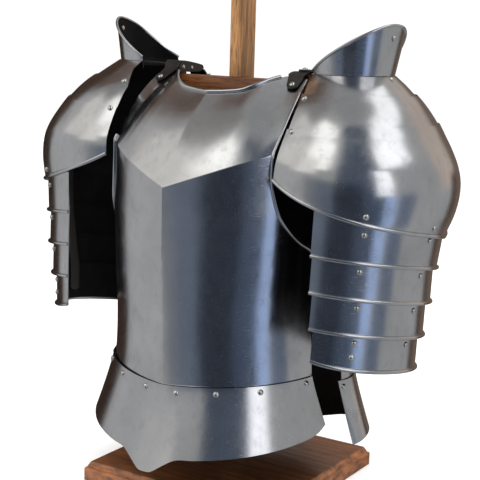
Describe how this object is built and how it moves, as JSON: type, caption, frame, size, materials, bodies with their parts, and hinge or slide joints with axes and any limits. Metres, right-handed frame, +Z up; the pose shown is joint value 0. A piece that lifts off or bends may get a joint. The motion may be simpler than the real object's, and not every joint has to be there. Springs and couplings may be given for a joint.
{
  "type": "steel cuirass with pauldrons on a wooden stand",
  "caption": "Polished steel breastplate and backplate with skirt plates, lamed shoulder and arm guards and leather straps, hung on a plain wooden stand.",
  "frame": {"origin": "centre of the base board's underside", "axes": "+Z up, the armour faces -Y and its own left arm is at +X"},
  "size_m": [0.6684, 0.3819, 0.785],
  "materials": {
    "polished_steel": "polished with fine scratches, painted black inside",
    "black_leather": "semi gloss",
    "stained_wood": "satin varnish"
  },
  "bodies": {
    "root": {"base_board": "stained_wood", "post": "stained_wood", "crossbar": "stained_wood", "breastplate": "polished_steel", "backplate": "polished_steel", "fauld": "polished_steel", "culet": "polished_steel", "left_haute_piece": "polished_steel", "left_upper_lame_1": "polished_steel", "left_upper_lame_2": "polished_steel", "left_shoulder_plate": "polished_steel", "left_front_arm_leather": "black_leather", "left_outer_arm_leather": "black_leather", "left_rear_arm_leather": "black_leather", "left_arm_lame_1": "polished_steel", "left_arm_lame_2": "polished_steel", "left_arm_lame_3": "polished_steel", "left_arm_lame_4": "polished_steel", "left_shoulder_strap": "black_leather", "left_pauldron_strap": "black_leather", "right_haute_piece": "polished_steel", "right_upper_lame_1": "polished_steel", "right_upper_lame_2": "polished_steel", "right_shoulder_plate": "polished_steel", "right_front_arm_leather": "black_leather", "right_outer_arm_leather": "black_leather", "right_rear_arm_leather": "black_leather", "right_arm_lame_1": "polished_steel", "right_arm_lame_2": "polished_steel", "right_arm_lame_3": "polished_steel", "right_arm_lame_4": "polished_steel", "right_shoulder_strap": "black_leather", "right_pauldron_strap": "black_leather"}
  },
  "joints": []
}
